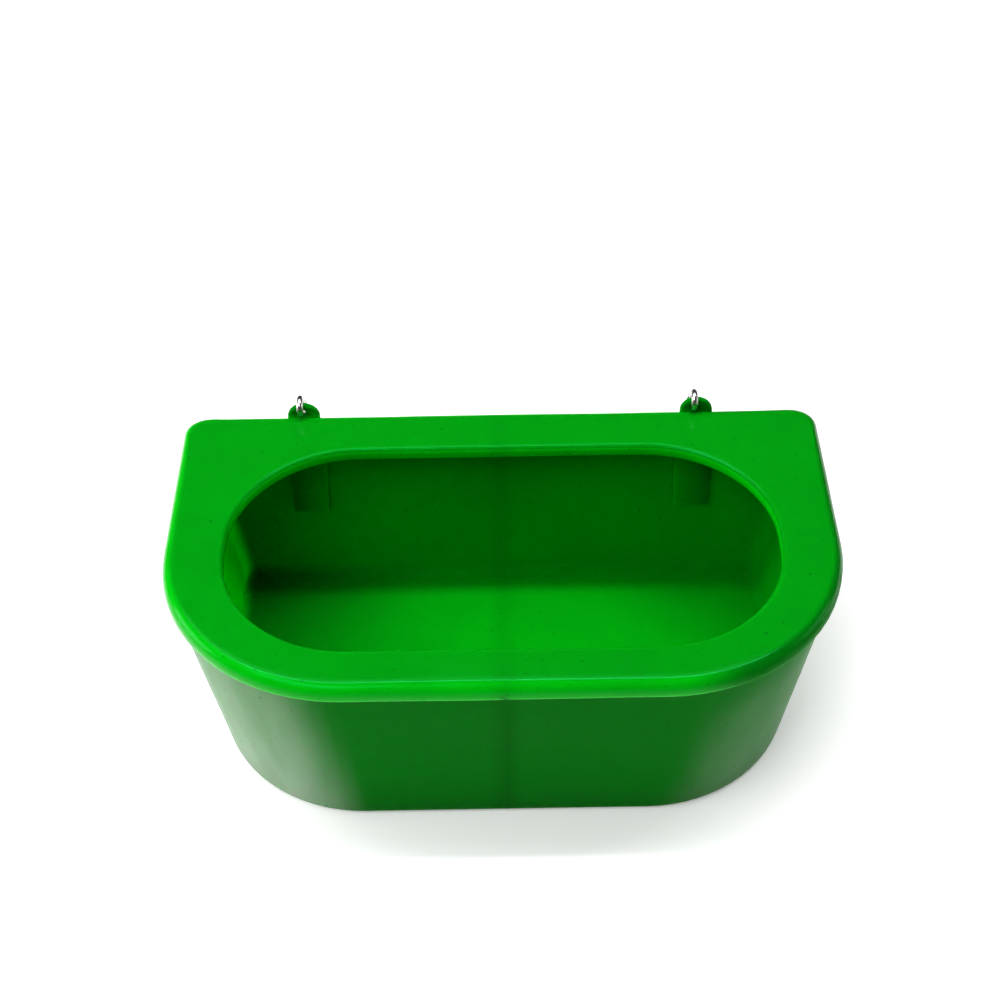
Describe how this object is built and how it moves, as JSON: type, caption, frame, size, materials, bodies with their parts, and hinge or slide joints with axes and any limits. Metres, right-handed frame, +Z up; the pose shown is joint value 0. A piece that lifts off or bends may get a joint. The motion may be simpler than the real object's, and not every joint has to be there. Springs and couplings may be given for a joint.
{
  "type": "feed trough",
  "caption": "Hanging feed trough of moulded plastic with a flat back, a rounded front, a flat rim round an oval mouth, and spring snap hooks through the ears behind the rim.",
  "frame": {"origin": "on the ground under the middle of the rim, at the level of the flat base", "axes": "+Z up, +Y towards the flat back that hangs against a wall, +X along the rim to the right of someone facing the back"},
  "size_m": [0.54, 0.3386, 0.2034],
  "materials": {
    "trough_plastic": "semi-gloss moulded polyethylene, bright green",
    "zinc_steel": "bright zinc plate",
    "pin_steel": "plain turned steel",
    "spring_steel": "oiled spring wire"
  },
  "bodies": {
    "trough": {"trough_shell": "trough_plastic"},
    "left_snap": {"left_snap_body": "zinc_steel", "left_gate_pin": "pin_steel"},
    "left_gate": {"left_snap_gate": "zinc_steel", "left_gate_spring": "spring_steel"},
    "left_plunger": {"left_gate_plunger": "pin_steel"},
    "right_snap": {"right_snap_body": "zinc_steel", "right_gate_pin": "pin_steel"},
    "right_gate": {"right_snap_gate": "zinc_steel", "right_gate_spring": "spring_steel"},
    "right_plunger": {"right_gate_plunger": "pin_steel"}
  },
  "joints": [
    {"name": "left_snap_swing", "type": "hinge", "parent": "trough", "child": "left_snap", "pos_m": [-0.1702, 0.153, 0.1939], "axis": [1, 0, 0], "range_deg": [0, 170]},
    {"name": "left_gate_turn", "type": "hinge", "parent": "left_snap", "child": "left_gate", "pos_m": [-0.1702, 0.1709, 0.1813], "axis": [-1, 0, 0], "range_deg": [0, 28], "stiffness_Nm_per_rad": 0.05, "springref_deg": -51.57},
    {"name": "left_plunger_slide", "type": "slide", "parent": "left_gate", "child": "left_plunger", "axis": [0, 0.3141, -0.9494], "range_m": [0, 0.00061], "deforming": ["left_gate_spring"]},
    {"name": "right_snap_swing", "type": "hinge", "parent": "trough", "child": "right_snap", "pos_m": [0.1658, 0.153, 0.1939], "axis": [1, 0, 0], "range_deg": [0, 170]},
    {"name": "right_gate_turn", "type": "hinge", "parent": "right_snap", "child": "right_gate", "pos_m": [0.1658, 0.1709, 0.1813], "axis": [-1, 0, 0], "range_deg": [0, 28], "stiffness_Nm_per_rad": 0.05, "springref_deg": -51.57},
    {"name": "right_plunger_slide", "type": "slide", "parent": "right_gate", "child": "right_plunger", "axis": [0, 0.3141, -0.9494], "range_m": [0, 0.00061], "deforming": ["right_gate_spring"]}
  ],
  "couplings": [
    {"joint": "left_plunger_slide", "follows": "left_gate_turn", "m_per_rad": 0.0012278},
    {"joint": "right_plunger_slide", "follows": "right_gate_turn", "m_per_rad": 0.0012278}
  ]
}
